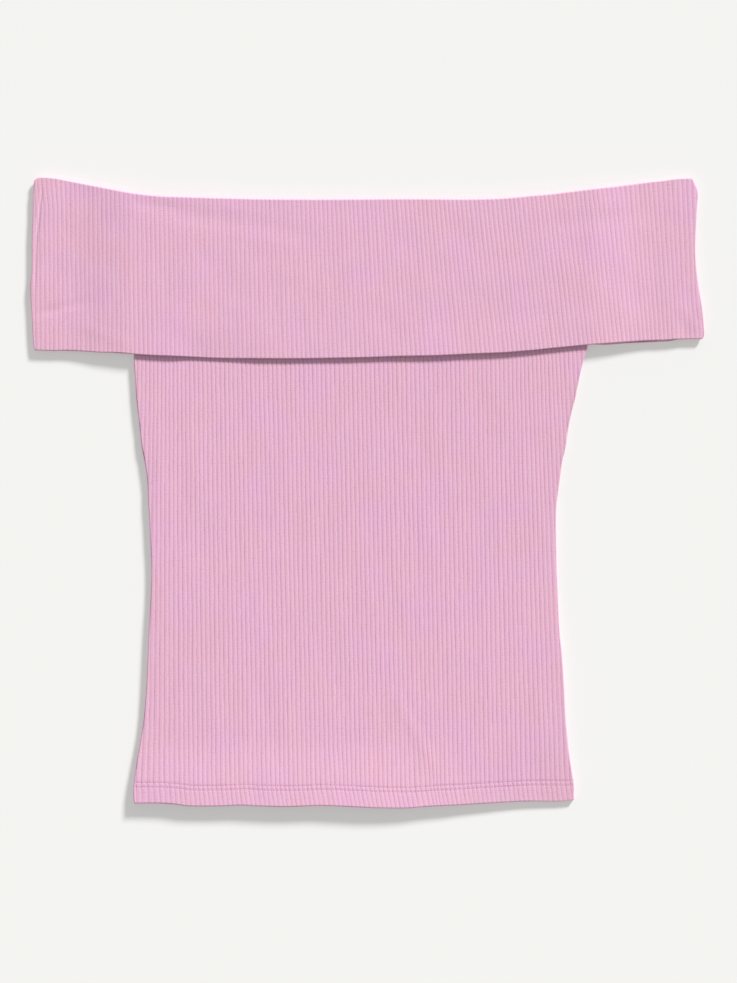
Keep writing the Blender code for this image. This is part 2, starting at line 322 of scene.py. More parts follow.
# Places of the columns across one rib, as shares of its width from one groove to the next
BODY_COLUMNS = (0.0, 0.06, 0.14, 0.25, 0.5, 0.75, 0.86, 0.94)
BAND_COLUMNS = (0.0, 0.08, 0.2, 0.5, 0.8, 0.92)
BACK_COLUMNS = (0.0, 0.22, 0.5, 0.78)

OUTER_EDGE_STEPS = (0.0, 0.2, 0.6) + tuple(1.1 + 0.5 * k for k in range(18))
INNER_EDGE_STEPS = (0.0, 1.4, 3.4, 6.5, 11.0)
RIB_START = 10.0
PLAIN_STEP = 26.0
RIBS_EACH_WAY = 100


def linear(code, alpha=None):
    """An sRGB hex colour as linear numbers."""
    numbers = []
    for place in (0, 2, 4):
        value = int(code[place : place + 2], 16) / 255
        low = value / 12.92
        numbers.append(low if value <= 0.04045 else ((value + 0.055) / 1.055) ** 2.4)
    return tuple(numbers) if alpha is None else (*numbers, alpha)


def length_property(name, description, millimetres):
    return FloatProperty(
        name=name, description=description, default=millimetres * MM, unit="LENGTH", precision=5
    )


def angle_property(name, description, degrees):
    return FloatProperty(
        name=name, description=description, default=math.radians(degrees), subtype="ANGLE"
    )


def colour_property(name, description, code):
    return FloatVectorProperty(
        name=name,
        description=description,
        default=linear(code, 1.0),
        size=4,
        min=0.0,
        max=1.0,
        subtype="COLOR",
    )


class KnitSizes(bpy.types.PropertyGroup):
    """Sizes of the cloth and the sewing."""

    rib_pitch: length_property("Rib pitch", "Distance from one rib to the next", 3.83)
    body_rib_rise: length_property("Body rib rise", "Height of the body's ribs", 0.23)
    band_rib_rise: length_property("Band rib rise", "Height of the band's ribs", 0.2)
    body_wall: length_property("Body cloth", "Thickness of the body's knit", 1.0)
    band_wall: length_property("Band cloth", "Thickness of the band's double knit", 2.4)
    hem_turn_wall: length_property("Hem turn", "Thickness the turned hem adds", 1.8)
    hem_turn_depth: length_property("Hem depth", "Height of the upper stitch line", 18.0)
    stitch_line_gap: length_property("Needle gap", "Distance between the stitch lines", 3.8)
    stitch_pitch: length_property("Stitch length", "Length of one stitch", 2.6)
    thread_width: length_property("Thread", "Width of the sewing thread", 0.3)
    seam_gap: length_property("Seam gap", "Gap kept between two pieces", 0.3)
    wale_wander: length_property("Rib wander", "How far a rib strays sideways", 0.16)
    lie_unevenness: length_property("Unevenness", "Height of the cloth's soft unevenness", 0.07)


class KnitColours(bpy.types.PropertyGroup):
    """Colours of the yarn, the thread and the floor."""

    yarn: colour_property("Yarn", "Candy pink on top of the ribs", "E2B3CC")
    hole: colour_property("Needle hole", "Shadow in a needle hole", "B87A9A")
    # The groove colour is painted shade: the same yarn, darker where little light reaches between
    # the ribs
    groove: colour_property("Groove", "Deeper pink between the ribs", "C98BAE")
    lilac: colour_property("Lilac cast", "Cooler patches of the dye", "E2B1CF")
    rose: colour_property("Rose cast", "Warmer patches of the dye", "E3B2C8")
    inside: colour_property("Inside", "Duller reverse of the knit", "D9A1BD")
    thread: colour_property("Thread", "Polyester sewing thread", "DDA8C2")
    paper: colour_property("Paper", "Matt floor paper", "CBCBCA")


class StudioSettings(bpy.types.PropertyGroup):
    """Light and camera of the stage."""

    key_strength: FloatProperty(
        name="Key light", description="Strength of the low light", default=4.75, min=0.0
    )
    key_azimuth: angle_property("Key azimuth", "Direction of the light, from +X towards +Y", 56)
    key_elevation: angle_property("Key elevation", "Height of the light over the floor", 25)
    key_softness: angle_property("Key softness", "Apparent width of the light", 11)
    fill_strength: FloatProperty(
        name="Fill light", description="Strength of the light all round", default=0.38, min=0.0
    )
    table_glow: FloatProperty(
        name="Table glow", description="Light that comes up through the paper", default=0.3, min=0.0
    )
    lens: FloatProperty(
        name="Lens", description="Focal length in millimetres", default=85.0, min=1.0
    )
    floor_pieces: IntProperty(
        name="Floor divisions", description="Divisions of the floor paper", default=8, min=1
    )


def sizes_in_mm():
    """The sizes as plain numbers in millimetres, by name."""
    group = bpy.context.scene.rib_top_sizes
    return {name: getattr(group, name) / MM for name in KnitSizes.__annotations__}


def smooth(share):
    """0 to 1 with soft ends, for shares that may lie outside that range."""
    share = np.clip(share, 0.0, 1.0)
    return share * share * (3.0 - 2.0 * share)


def round_over(distance, width):
    """Quarter circle: 0 at an edge and 1 at the given width from it."""
    share = np.clip(distance / width, 0.0, 1.0)
    return np.sqrt(1.0 - (1.0 - share) ** 2)


def mix(first, second, share):
    return first + (second - first) * share


def read(table, column, at):
    """A table's column at places of its first column, on a smooth curve through its rows."""
    rows = np.asarray(table, float)
    places, values = rows[:, 0], rows[:, column]
    spread = np.empty(len(rows))
    spread[1:-1] = (values[2:] - values[:-2]) / (places[2:] - places[:-2])
    spread[0] = (values[1] - values[0]) / (places[1] - places[0])
    spread[-1] = (values[-1] - values[-2]) / (places[-1] - places[-2])
    at = np.clip(at, places[0], places[-1])
    row = np.clip(np.searchsorted(places, at, side="right") - 1, 0, len(rows) - 2)
    width = places[row + 1] - places[row]
    t = (at - places[row]) / width
    ends = values[row] * (1 + 2 * t) * (1 - t) ** 2 + values[row + 1] * (3 - 2 * t) * t * t
    slopes = spread[row] * t * (1 - t) ** 2 - spread[row + 1] * t * t * (1 - t)
    return ends + width * slopes


def folds(table, x, y):
    """Sum of the soft troughs and ridges at each point; each fades towards both its ends."""
    total = np.zeros(np.broadcast(x, y).shape)
    for x0, y0, x1, y1, half_width, rise in table:
        along_x, along_y = x1 - x0, y1 - y0
        length = math.hypot(along_x, along_y)
        along = ((x - x0) * along_x + (y - y0) * along_y) / length
        across = ((x - x0) * along_y - (y - y0) * along_x) / length
        fading = smooth(3.0 * along / length) * smooth(3.0 - 3.0 * along / length)
        total += rise * fading * smooth(1.0 - np.abs(across) / half_width)
    return total


class Waves:
    """A soft unevenness: a sum of long waves in many directions, the same on each run."""

    def __init__(self, seed, shortest, longest, count=14):
        draw = np.random.default_rng(seed)
        lengths = draw.uniform(shortest, longest, count)
        angles = draw.uniform(0, math.pi, count)
        self.along_x = np.cos(angles) * 2 * math.pi / lengths
        self.along_y = np.sin(angles) * 2 * math.pi / lengths
        self.phases = draw.uniform(0, 2 * math.pi, count)

    def at(self, x, y):
        x, y = np.asarray(x, float)[..., None], np.asarray(y, float)[..., None]
        waves = np.sin(x * self.along_x + y * self.along_y + self.phases)
        return waves.sum(axis=-1) / math.sqrt(len(self.phases))


class Garment:
    """The form of the whole top: its outline, its ribs and the height of each face."""

    def __init__(self, sizes):
        self.__dict__.update(sizes)
        self.back_lifted = self.band_wall + self.seam_gap
        self.arm_inside = self.back_lifted + ARM_AIR_SHARE * self.seam_gap
        self.front_over_band = self.back_lifted + 2 * self.body_wall + self.seam_gap
        self.band_inside = self.front_over_band + self.body_rib_rise + self.seam_gap
        self.top_inside = self.band_wall + 4 * self.seam_gap
        self.front_height = FRONT_HEIGHT + tuple(
            (level, *(self.front_over_band,) * 3) for level in UNDER_BAND_LEVELS
        )
        self.lie = Waves(SEED, 22, 70)
        self.wander = Waves(SEED + 1, 14, 60)
        self.fullness = Waves(SEED + 2, 12, 45)
        draw = np.random.default_rng(SEED + 3)
        self.rib_fullness = draw.uniform(0.9, 1.06, 2 * RIBS_EACH_WAY)
        self.rib_offset = draw.uniform(-1.0, 1.0, 2 * RIBS_EACH_WAY)

    def hem(self, x):
        return read(HEM_EDGE, 1, x)

    def band_top(self, x):
        return read(BAND_EDGES, 1, x)

    def band_bottom(self, x):
        return read(BAND_EDGES, 2, x)

    def row_y(self, level, offset, x):
        """Place of a row along the body at each x."""
        if level <= 1.0:
            return mix(self.hem(x), self.band_bottom(x), level) + offset
        return mix(self.band_bottom(x), self.band_top(x), level - 1.0) + offset

    def level_at(self, x, y):
        low, middle, high = self.hem(x), self.band_bottom(x), self.band_top(x)
        below = (y - low) / (middle - low)
        above = 1.0 + (y - middle) / (high - middle)
        return np.where(y <= middle, below, above)

    def body_side(self, x, y, side):
        return read(BODY_SIDES, side, y)

    def band_side(self, x, y, side):
        return read(BAND_ENDS, side, self.level_at(x, y) - 1.0)

    def rib_shape(self, s):
        """Height of a rib, 0 in the groove and 1 on the crest, and its number."""
        place = s / self.rib_pitch + 0.5
        number = np.floor(place).astype(int)
        from_crest = np.abs(place - number - 0.5) * 2.0
        return 1.0 - from_crest**RIB_FLATNESS, number

    def rib_stray(self, s, y):
        number = np.rint(s / self.rib_pitch).astype(int) % len(self.rib_offset)
        own = self.rib_offset[number] * np.sin(y / 31.0 + number * 1.7)
        return self.wale_wander * (self.wander.at(s, y * 0.35) + 0.5 * own)

    def bows(self, table, s, y):
        """How far the ribs are bent aside at each place."""
        total = 0.0
        for middle, width, start, full, shift in table:
            along = smooth((y - start) / (full - start))
            total = total + shift * along * smooth(1.0 - np.abs(s - middle) / width)
        return total

    def body_rib_x(self, s, y):
        below_stitch = np.maximum(self.hem(s) + self.hem_turn_depth - y, 0.0)
        lean = read(BODY_LEAN, 1, s) * (BODY_MIDDLE_Y - y)
        bent = self.bows(BODY_BOWS, s, y) + self.rib_stray(s, y)
        return s + lean + read(HEM_LEAN, 1, s) * below_stitch + bent

    def band_rib_x(self, s, y):
        bent = self.bows(BAND_BOWS, s, y) + self.rib_stray(s, y)
        return s + read(BAND_LEAN, 1, s) * (BAND_MIDDLE_Y - y) + bent

    def side_distance(self, x, y, side_x):
        return np.minimum(x - side_x(x, y, 1), side_x(x, y, 2) - x)

    def stitch_lines(self):
        """Height over the hem's edge, and phase of the stitches, for both lines."""
        upper = self.hem_turn_depth
        return (upper, 0.0), (upper - self.stitch_line_gap, LOWER_LINE_PHASE)

    def stitch_pull(self, s, y):
        """How strongly the hem's stitches hold the cloth down: 1 on a line of stitches."""
        above = y - self.hem(s)
        return sum(np.exp(-(((above - line) / LINE_WIDTH) ** 2)) for line, _ in self.stitch_lines())

    def needle_holes(self, s, y):
        """1 where a stitch goes into the cloth."""
        above = y - self.hem(s)
        holes = 0.0
        for line, phase in self.stitch_lines():
            turn = s / self.stitch_pitch + phase
            aside = (turn - np.rint(turn)) * self.stitch_pitch
            holes = holes + np.exp(-((above - line) ** 2 + aside**2) / HOLE_RADIUS**2)
        return holes

    def back_bottom(self, x, y):
        to_band = y - self.band_bottom(x) + CLIMB_START
        return self.back_lifted * smooth(to_band / (CLIMB_START - CLIMB_END))

    def hem_turn(self, x, y):
        above = y - self.hem(x)
        inside_turn = 1.0 - smooth((above - self.hem_turn_depth + 1.0) / HEM_STEP)
        start, width, share = HEM_PRESS
        pressed = 1.0 - share * smooth((x - start) / width)
        return self.hem_turn_wall * inside_turn * pressed

    def back_top(self, x, y):
        return self.back_bottom(x, y) + self.body_wall + self.hem_turn(x, y)

    def front_full(self, x, y):
        level = self.level_at(x, y)
        left, right = self.body_side(x, y, 1), self.body_side(x, y, 2)
        across = 2.0 * (x - left) / (right - left) - 1.0
        middle = read(self.front_height, 2, level)
        low_side = read(self.front_height, 1, level)
        high_side = read(self.front_height, 3, level)
        side = np.where(across < 0, low_side, high_side)
        height = mix(middle, side, smooth(np.abs(across)))
        # The folds end where the body goes under the band
        free = 1.0 - smooth(level / 0.1 - 9.0)
        soft = folds(BODY_FOLDS, x, y) + self.lie_unevenness * self.lie.at(x, y * 0.5)
        return height + soft * free

    def front_inner(self, x, y):
        low = self.back_top(x, y) + self.seam_gap
        wall = self.body_wall + self.hem_turn(x, y)
        high = np.maximum(self.front_full(x, y) - wall, low)
        distance = self.side_distance(x, y, self.body_side)
        return mix(low, high, round_over(distance - self.body_wall, SIDE_ROLL))

    def front_outer(self, x, y):
        low = self.back_top(x, y) + self.seam_gap + RIM_WALL
        distance = self.side_distance(x, y, self.body_side)
        full = np.maximum(self.front_full(x, y), low + RIM_WALL)
        rolled = mix(low, full, round_over(distance, SIDE_ROLL))
        edge = self.front_inner(x, y) + RIM_WALL + self.hem_turn_wall / 2
        return mix(edge, rolled, round_over(y - self.hem(x), HEM_ROLL))

    def body_relief(self, s, x, y):
        """What the ribs and the stitches add to the front's outer face."""
        shape, number = self.rib_shape(s)
        own = self.rib_fullness[number % len(self.rib_fullness)]
        rise = self.body_rib_rise * own * (1.0 + 0.06 * self.fullness.at(x, y * 0.3))
        rise = np.minimum(rise, self.body_rib_rise * mix(1.3, 1.0, smooth(self.level_at(x, y))))
        pull = np.minimum(self.stitch_pull(s, y), 1.0)
        above = y - self.hem(x)
        rise = rise * mix(0.5, 1.0, smooth(above / (self.hem_turn_depth + HEM_STEP)))
        in_roll = round_over(self.side_distance(x, y, self.body_side), SIDE_ROLL)
        ribs = rise * shape * (1.0 - 0.3 * pull) * mix(0.6, 1.0, in_roll)
        return ribs - LINE_DEPTH * pull - HOLE_DEPTH * self.needle_holes(s, y)

    def band_inner(self, x, y):
        left = self.body_side(x, y, 1) - x
        right = x - self.body_side(x, y, 2)
        beside = smooth((np.maximum(left, right) - 1.0) / SINK_WIDTH)
        above = smooth((y - self.band_top(x) + TOP_SINK) / TOP_SINK)
        over_body = mix(self.band_inside, self.top_inside, above)
        at_end = 1.0 - smooth(self.side_distance(x, y, self.band_side) / END_ROLL)
        settled = mix(over_body, self.arm_inside, beside)
        return settled - ARM_AIR_SHARE * self.seam_gap * at_end

    def band_rim(self, x, y, bottom):
        up = round_over(y - bottom, BAND_ROLL)
        down = round_over(self.band_top(x) - y, BAND_ROLL)
        side = round_over(self.side_distance(x, y, self.band_side), BAND_ROLL)
        return np.minimum(np.minimum(up, down), side)

    def band_outer(self, x, y):
        full = self.band_wall + folds(BAND_FOLDS, x, y)
        full = full + self.lie_unevenness * self.lie.at(y * 0.8, x)
        rim = self.band_rim(x, y, self.band_bottom(x))
        return self.band_inner(x, y) + mix(RIM_WALL, full, rim)

    def band_relief(self, s, x, y):
        shape, number = self.rib_shape(s)
        own = self.rib_fullness[(number + 31) % len(self.rib_fullness)]
        rise = self.band_rib_rise * own * (1.0 + 0.07 * self.fullness.at(y * 0.3, x))
        return rise * shape

    def back_band_bottom(self, x):
        return self.band_bottom(x) + read(BACK_SHORTFALL, 1, x)

    def back_band_outer(self, x, y):
        rim = self.band_rim(x, y, self.back_band_bottom(x))
        return mix(RIM_WALL * 2, self.band_wall, rim)

    def edge_point(self, row, side, side_x):
        """Where a row meets a side edge."""
        level, offset = row
        x = float(side_x(0.0, self.row_y(level, offset, 0.0), side))
        for _ in range(4):
            x = float(side_x(x, self.row_y(level, offset, x), side))
        return x

    def rib_place(self, x, y, rib_x):
        s = np.array(x, float)
        for _ in range(5):
            s = s + x - rib_x(s, y)
        return s

    def ribbed_section(self, row, side_x, rib_x, columns):
        """Places of a row that follows each rib: across the ribs, x and y."""
        level, offset = row
        left, right = (self.edge_point(row, side, side_x) for side in (1, 2))
        near = np.array((left + RIB_START, right - RIB_START))
        near_s = self.rib_place(near, self.row_y(level, offset, near), rib_x)
        ribs = np.arange(-RIBS_EACH_WAY, RIBS_EACH_WAY)
        s = ((ribs[:, None] - 0.5 + np.array(columns)) * self.rib_pitch).ravel()
        s = s[(s > near_s[0]) & (s < near_s[1])]
        x = rib_x(s, self.row_y(level, offset, s))
        for _ in range(2):
            x = rib_x(s, self.row_y(level, offset, x))
        steps = np.array(OUTER_EDGE_STEPS)
        left_x, right_x = left + steps, right - steps[::-1]
        edges = []
        for edge_x in (left_x, right_x):
            y = self.row_y(level, offset, edge_x)
            edges.append(self.rib_place(edge_x, y, rib_x))
        s = np.concatenate((edges[0], s, edges[1]))
        x = np.concatenate((left_x, x, right_x))
        return s, x, self.row_y(level, offset, x)

    def plain_section(self, row, side_x, rib_x, inset=0.0, end_inset=0.0):
        """Places of a row with few columns, moved in from the sides by the inset."""
        level, offset = row[0], row[1] + end_inset
        left = self.edge_point((level, offset), 1, side_x) + inset
        right = self.edge_point((level, offset), 2, side_x) - inset
        steps = np.array(INNER_EDGE_STEPS)
        count = round((right - left - 2 * steps[-1]) / PLAIN_STEP)
        middle = np.linspace(left + steps[-1], right - steps[-1], count + 1)[1:-1]
        x = np.concatenate((left + steps, middle, right - steps[::-1]))
        y = self.row_y(level, offset, x)
        return self.rib_place(x, y, rib_x), x, y


class Wall:
    """A closed cloth wall, lofted between sections that may differ in their columns."""

    def __init__(self, name):
        self.name = name
        self.points = []
        self.cloth = []
        self.hole_shade = []
        self.faces = []
        self.count = 0

    def add_section(self, s, x, y, z, hole_shade=None):
        """Adds a row of points and returns the numbers of its points and their places."""
        shift_x, shift_y = OUTLINE_SHIFT
        z = np.broadcast_to(z, x.shape)
        self.points.append(np.stack((x + shift_x, y + shift_y, z), axis=1))
        self.cloth.append(np.stack((s, y), axis=1))
        self.hole_shade.append(np.zeros(len(x)) if hole_shade is None else hole_shade)
        numbers = range(self.count, self.count + len(x))
        self.count += len(x)
        return list(zip(s.tolist(), numbers))

    def join(self, first, second):
        """Triangles between two sections, kept along the ribs."""
        i = j = 0
        last_i, last_j = len(first) - 1, len(second) - 1
        while i < last_i or j < last_j:
            if i < last_i and (j == last_j or first[i + 1][0] <= second[j + 1][0] + 0.05):
                self.faces.append((first[i][1], first[i + 1][1], second[j][1]))
                i += 1
            else:
                self.faces.append((first[i][1], second[j + 1][1], second[j][1]))
                j += 1

    def close(self, outer, inner):
        """Faces of both sides, and the rim between them."""
        for rows in (outer, inner):
            for low, high in zip(rows, rows[1:]):
                self.join(low, high)
        self.join(outer[0], inner[0])
        self.join(outer[-1], inner[-1])
        for end in (0, -1):
            for k in range(len(outer) - 1):
                a, b = outer[k][end][1], outer[k + 1][end][1]
                c, d = inner[k + 1][end][1], inner[k][end][1]
                self.faces += [(a, b, c), (a, c, d)]

    def finish(self, material):
        """The wall as an object, with its place in the cloth kept for the material."""
        points = np.concatenate(self.points) * MM
        data = bpy.data.meshes.new(self.name)
        data.from_pydata(points.tolist(), [], self.faces)
        work = bmesh.new()
        work.from_mesh(data)
        bmesh.ops.recalc_face_normals(work, faces=work.faces)
        work.to_mesh(data)
        work.free()
        corners = np.empty(len(data.loops), np.int32)
        data.loops.foreach_get("vertex_index", corners)
        places = data.uv_layers.new(name="cloth_place")
        places.data.foreach_set("uv", (np.concatenate(self.cloth) * MM)[corners].ravel())
        # Where the material paints shade, in the needle holes
        hole_shade = data.attributes.new("hole_shade", "FLOAT", "POINT")
        hole_shade.data.foreach_set("value", np.concatenate(self.hole_shade))
        data.shade_smooth()
        data.materials.append(material)
        item = bpy.data.objects.new(self.name, data)
        bpy.context.scene.collection.objects.link(item)
        return item


def hem_rows():
    return [(0.0, float(offset)) for offset in HEM_ROWS]


def torso_rows(count):
    """Rows from just above the hem to where the body climbs onto the band."""
    shares = np.linspace(0, 1, count + 1)[1:]
    first = HEM_ROWS[-1]
    return [(t, first * (1 - t) - CLIMB_START * t) for t in shares.tolist()]


def climb_rows(count):
    offsets = np.linspace(-CLIMB_START, CLIMB_TOP, count + 1)[1:]
    return [(1.0, offset) for offset in offsets.tolist()]


def hidden_rows():
    return [(1.0, UNDER_BAND), (1.5, 0.0), (2.0, -BODY_TOP_INSET)]


def band_rows(count):
    """Rows of the band, close together at both of its folds."""
    low = [(1.0, offset) for offset in BAND_FOLD_ROWS]
    high = [(2.0, -offset) for offset in reversed(BAND_FOLD_ROWS)]
    shares = np.linspace(0, 1, count + 1)[1:-1]
    inside = BAND_FOLD_ROWS[-1]
    return low + [(1 + t, inside * (1 - 2 * t)) for t in shares.tolist()] + high


def add_thread(work, ring_points):
    """A closed six-sided tube along X through points that each have their own radius."""
    rings = []
    for x, y, z, thick in ring_points:
        ring = []
        for k in range(6):
            turn = math.pi * k / 3
            corner = (x, y + thick * math.cos(turn), z + thick * math.sin(turn))
            ring.append(work.verts.new(Vector(corner) * MM))
        rings.append(ring)
    for low, high in zip(rings, rings[1:]):
        for k in range(6):
            n = (k + 1) % 6
            work.faces.new((low[k], high[k], high[n], low[n]))
    work.faces.new(rings[0])
    work.faces.new(rings[-1][::-1])


def insets(count):
    """How far the first and the last inner row stand back from the wall's ends."""
    return [RIM_WALL] + [0.0] * (count - 2) + [-RIM_WALL]


def add_node(tree, kind, inputs=None, links=None, **settings):
    """A node with its settings, its input values and its links from other sockets."""
    node = tree.nodes.new(kind)
    for name, value in settings.items():
        setattr(node, name, value)
    for name, value in (inputs or {}).items():
        node.inputs[name].default_value = value
    for name, socket in (links or {}).items():
        tree.links.new(socket, node.inputs[name])
    return node


def colour_steps(ramp, steps):
    """Sets a colour ramp's stops: place, colour."""
    elements = ramp.color_ramp.elements
    while len(elements) < len(steps):
        elements.new(0.5)
    for element, (place, colour) in zip(elements, steps):
        element.position = place
        element.color = colour


def new_material(name):
    material = bpy.data.materials.new(name)
    material.use_nodes = True
    tree = material.node_tree
    tree.nodes.clear()
    return material, tree


def finished(material, shader):
    """Links the shader to the material's surface."""
    output = add_node(material.node_tree, "ShaderNodeOutputMaterial")
    material.node_tree.links.new(shader.outputs["BSDF"], output.inputs["Surface"])
    return material


def cotton_rib_knit(name, top, groove, groove_shade_strength):
    """Combed cotton with elastane, circular-knitted as a fine rib and piece-dyed.

    It gives the eye matt, soft ribs with painted shade in their grooves, a faint fuzz that lightens
    the edges, small stitches along each rib, and a dye that turns slightly lilac or rose.
    """
    colours = bpy.context.scene.rib_top_colours
    pitch = bpy.context.scene.rib_top_sizes.rib_pitch
    material, tree = new_material(name)
    place = add_node(tree, "ShaderNodeUVMap", uv_map="cloth_place")
    object_place = add_node(tree, "ShaderNodeTexCoord")
    apart = add_node(tree, "ShaderNodeSeparateXYZ", links={"Vector": place.outputs["UV"]})

    # Dye patches, 15 to 60 mm across
    patches = add_node(
        tree,
        "ShaderNodeTexNoise",
        {"Scale": 26.0, "Detail": 2.0, "Roughness": 0.5},
        {"Vector": object_place.outputs["Object"]},
    )
    cast = add_node(tree, "ShaderNodeValToRGB", links={"Fac": patches.outputs["Fac"]})
    colour_steps(
        cast,
        ((0.32, tuple(colours.rose)), (0.5, tuple(top)), (0.68, tuple(colours.lilac))),
    )

    # Streaks along single ribs: each rib takes the dye a little differently
    streak_place = add_node(
        tree,
        "ShaderNodeMapping",
        {"Scale": (1.0 / pitch, 14.0, 1.0)},
        {"Vector": place.outputs["UV"]},
    )
    streaks = add_node(
        tree,
        "ShaderNodeTexNoise",
        {"Scale": 1.0, "Detail": 2.0, "Roughness": 0.6},
        {"Vector": streak_place.outputs["Vector"]},
    )
    streak_shade = add_node(
        tree,
        "ShaderNodeMapRange",
        {"From Min": 0.3, "From Max": 0.7, "To Min": 0.98, "To Max": 1.02},
        {"Value": streaks.outputs["Fac"]},
    )
    streaked = add_node(
        tree,
        "ShaderNodeVectorMath",
        links={0: cast.outputs["Color"], "Scale": streak_shade.outputs["Result"]},
        operation="SCALE",
    )

    # Painted shade in the groove between two ribs, where little light reaches the purl stitches
    turn = add_node(
        tree, "ShaderNodeMath", {1: 1.0 / pitch}, {0: apart.outputs["X"]}, operation="MULTIPLY"
    )
    turn_back = add_node(
        tree, "ShaderNodeMath", {1: 0.5}, {0: turn.outputs[0]}, operation="PINGPONG"
    )
    depth = add_node(
        tree,
        "ShaderNodeMapRange",
        {"From Min": 0.28, "From Max": 0.5, "To Min": 0.0, "To Max": groove_shade_strength},
        {"Value": turn_back.outputs[0]},
        interpolation_type="SMOOTHSTEP",
    )
    # The painted groove shade widens and narrows as the grooves close up and open again every
    # centimetre or two
    opening_place = add_node(
        tree,
        "ShaderNodeMapping",
        {"Scale": (1.0 / pitch, 70.0, 1.0)},
        {"Vector": place.outputs["UV"]},
    )
    opening = add_node(
        tree,
        "ShaderNodeTexNoise",
        {"Scale": 1.0, "Detail": 1.0},
        {"Vector": opening_place.outputs["Vector"]},
    )
    opened = add_node(
        tree,
        "ShaderNodeMapRange",
        {"From Min": 0.3, "From Max": 0.7, "To Min": 0.5, "To Max": 1.3},
        {"Value": opening.outputs["Fac"]},
    )
    groove_shade_mask = add_node(
        tree,
        "ShaderNodeMath",
        links={0: depth.outputs["Result"], 1: opened.outputs["Result"]},
        operation="MULTIPLY",
    )
    groove_shaded = add_node(
        tree,
        "ShaderNodeMix",
        {"B": tuple(groove)},
        {"Factor": groove_shade_mask.outputs[0], "A": streaked.outputs["Vector"]},
        data_type="RGBA",
    )
    # Painted shade in the needle holes that the hem's stitches press into the cloth
    hole_shade = add_node(tree, "ShaderNodeAttribute", attribute_name="hole_shade")
    hole_shaded = add_node(
        tree,
        "ShaderNodeMix",
        {"B": tuple(colours.hole)},
        {"Factor": hole_shade.outputs["Fac"], "A": groove_shaded.outputs["Result"]},
        data_type="RGBA",
    )

    # Knit stitches: courses of about 1.3 mm, drawn 1.9 mm high so that they show. Each loop gets
    # painted light on its top and painted shade at its edges, besides its bump
    course = add_node(
        tree,
        "ShaderNodeMapping",
        {"Scale": (2.0 / pitch, 1.0 / 0.0019, 1.0)},
        {"Vector": place.outputs["UV"]},
    )
    loops = add_node(
        tree,
        "ShaderNodeTexVoronoi",
        {"Scale": 1.0, "Randomness": 0.35},
        {"Vector": course.outputs["Vector"]},
        voronoi_dimensions="2D",
        feature="SMOOTH_F1",
    )
    # Painted light on the loops' tops and painted shade at their edges
    fuzz = add_node(
        tree,
        "ShaderNodeMapRange",
        {"From Min": 0.15, "From Max": 0.75, "To Min": 1.07, "To Max": 0.9},
        {"Value": loops.outputs["Distance"]},
    )
    loop_shaded = add_node(
        tree,
        "ShaderNodeVectorMath",
        links={0: hole_shaded.outputs["Result"], "Scale": fuzz.outputs["Result"]},
        operation="SCALE",
    )
    fibres = add_node(
        tree,
        "ShaderNodeTexNoise",
        {"Scale": 1700.0, "Detail": 3.0, "Roughness": 0.65},
        {"Vector": object_place.outputs["Object"]},
    )
    loop_bump = add_node(
        tree,
        "ShaderNodeBump",
        {"Strength": 0.35, "Distance": 0.0003},
        {"Height": loops.outputs["Distance"]},
        invert=True,
    )
    fibre_bump = add_node(
        tree,
        "ShaderNodeBump",
        {"Strength": 0.3, "Distance": 0.00015},
        {"Height": fibres.outputs["Fac"], "Normal": loop_bump.outputs["Normal"]},
    )
    shader = add_node(
        tree,
        "ShaderNodeBsdfPrincipled",
        {
            "Roughness": 0.92,
            "IOR": 1.5,
            "Specular IOR Level": 0.25,
            "Sheen Weight": 0.08,
            "Sheen Roughness": 0.6,
        },
        {"Base Color": loop_shaded.outputs["Vector"], "Normal": fibre_bump.outputs["Normal"]},
    )
    return finished(material, shader)


def spun_polyester_thread():
    """Spun polyester sewing thread, two plies: a fine twist with a dull shine."""
    colours = bpy.context.scene.rib_top_colours
    material, tree = new_material("spun_polyester_thread")
    place = add_node(tree, "ShaderNodeTexCoord")
    twist_place = add_node(
        tree,
        "ShaderNodeMapping",
        {"Rotation": (0.0, 0.0, math.radians(40))},
        {"Vector": place.outputs["Object"]},
    )
    # The real twist repeats every 0.3 mm, drawn about 1 mm apart so that it shows
    twist = add_node(
        tree,
        "ShaderNodeTexWave",
        {"Scale": 300.0, "Distortion": 1.5},
        {"Vector": twist_place.outputs["Vector"]},
    )
    # Painted shade in the furrows of the twist, in the knit's groove shade colour
    shade = add_node(tree, "ShaderNodeValToRGB", links={"Fac": twist.outputs["Fac"]})
    colour_steps(shade, ((0.2, tuple(colours.groove)), (0.7, tuple(colours.thread))))
    bump = add_node(
        tree,
        "ShaderNodeBump",
        {"Strength": 0.4, "Distance": 0.0001},
        {"Height": twist.outputs["Fac"]},
    )
    shader = add_node(
        tree,
        "ShaderNodeBsdfPrincipled",
        {"Roughness": 0.6, "Specular IOR Level": 0.4, "Sheen Weight": 0.1},
        {"Base Color": shade.outputs["Color"], "Normal": bump.outputs["Normal"]},
    )
    return finished(material, shader)


def matt_paper():
    """Uncoated background paper on a light table: near white, with a very faint cloudy grain.

    The light from below keeps the shadows pale.
    """
    colours = bpy.context.scene.rib_top_colours
    studio = bpy.context.scene.rib_top_studio
    material, tree = new_material("uncoated_paper")
    place = add_node(tree, "ShaderNodeTexCoord")
    cloud = add_node(
        tree,
        "ShaderNodeTexNoise",
        {"Scale": 1.6, "Detail": 3.0},
        {"Vector": place.outputs["Object"]},
    )
    shade = add_node(tree, "ShaderNodeValToRGB", links={"Fac": cloud.outputs["Fac"]})
    paper = tuple(colours.paper)
    dimmer = tuple(value * 0.985 for value in paper[:3]) + (1.0,)
    colour_steps(shade, ((0.3, dimmer), (0.7, paper)))
    shader = add_node(
        tree,
        "ShaderNodeBsdfPrincipled",
        {
            "Roughness": 0.95,
            "Specular IOR Level": 0.1,
            "Emission Color": linear("FFFFFD", 1.0),
            "Emission Strength": studio.table_glow,
        },
        {"Base Color": shade.outputs["Color"]},
    )
    return finished(material, shader)


